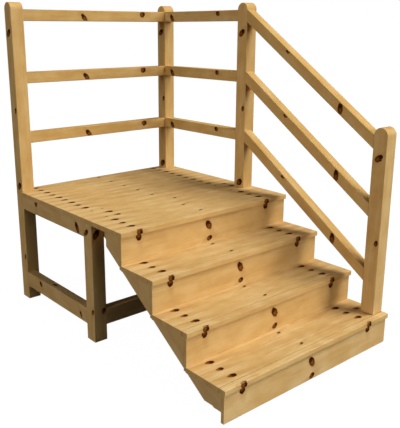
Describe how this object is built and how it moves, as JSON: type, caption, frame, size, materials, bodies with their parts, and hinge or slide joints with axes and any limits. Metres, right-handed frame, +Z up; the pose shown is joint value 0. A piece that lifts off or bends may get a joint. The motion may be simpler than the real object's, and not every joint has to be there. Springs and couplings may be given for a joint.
{
  "type": "wooden deck stairs",
  "caption": "Small raised timber platform on square legs with round-topped posts, level guard rails on two sides and a closed-riser flight with a sloping rail on one side.",
  "frame": {"origin": "centre of the footprint, on the ground", "axes": "+X to the right seen from the foot of the flight, +Y up the flight towards the back rails, +Z up"},
  "size_m": [1.342, 2.1164, 2.0254],
  "materials": {
    "post_timber": "planed softwood, bare, satin",
    "rail_timber": "planed softwood, bare, satin",
    "frame_timber": "planed softwood, bare, satin",
    "board_timber": "planed softwood, bare, satin"
  },
  "bodies": {
    "root": {"post_back_left": "post_timber", "post_back_right": "post_timber", "post_front_right": "post_timber", "leg_front_left": "post_timber", "newel_post": "post_timber", "back_rail_top": "rail_timber", "back_rail_middle": "rail_timber", "back_rail_lower": "rail_timber", "side_rail_top": "rail_timber", "side_rail_middle": "rail_timber", "side_rail_lower": "rail_timber", "stair_rail_top": "rail_timber", "stair_rail_middle": "rail_timber", "stair_rail_lower": "rail_timber", "beam_left": "frame_timber", "beam_right": "frame_timber", "beam_front": "frame_timber", "beam_back": "frame_timber", "joist_left": "frame_timber", "joist_right": "frame_timber", "stretcher_left": "frame_timber", "stretcher_right": "frame_timber", "stretcher_front": "frame_timber", "end_stringer_left": "frame_timber", "end_stringer_right": "frame_timber", "carriage_left": "frame_timber", "carriage_centre": "frame_timber", "carriage_right": "frame_timber", "riser_1": "board_timber", "riser_2": "board_timber", "riser_3": "board_timber", "riser_4": "board_timber", "deck_boards": "board_timber", "tread_1": "board_timber", "tread_2": "board_timber", "tread_3": "board_timber", "tread_4": "board_timber", "nosing_1": "board_timber", "nosing_2": "board_timber", "nosing_3": "board_timber", "nosing_4": "board_timber"}
  },
  "joints": []
}
